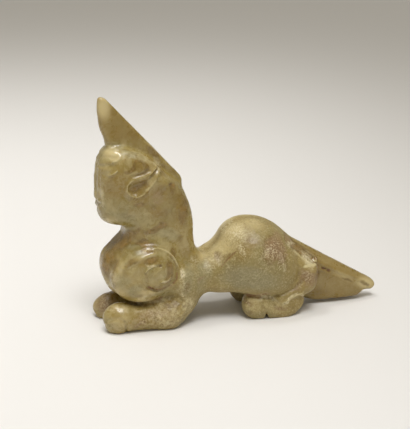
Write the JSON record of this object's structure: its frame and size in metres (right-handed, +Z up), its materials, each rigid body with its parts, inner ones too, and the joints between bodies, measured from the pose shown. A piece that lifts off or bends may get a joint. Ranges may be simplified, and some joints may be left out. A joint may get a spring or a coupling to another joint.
{
  "type": "jade mythical beast",
  "caption": "Small jade carving of a crouching mythical beast with a swept-back crest, spiral shoulders and a blade-like tail; a desk or shelf ornament.",
  "frame": {"origin": "on the ground under the middle of the carving's box, where its soles rest", "axes": "+X from the face back to the tail, +Y to the beast's right, +Z up; the left side faces -Y"},
  "size_m": [0.0762, 0.0222, 0.0596],
  "materials": {
    "jade": "polished olive and cream jade with brown staining and pale weathered patches"
  },
  "bodies": {
    "root": {"jade_beast": "jade"}
  },
  "joints": []
}
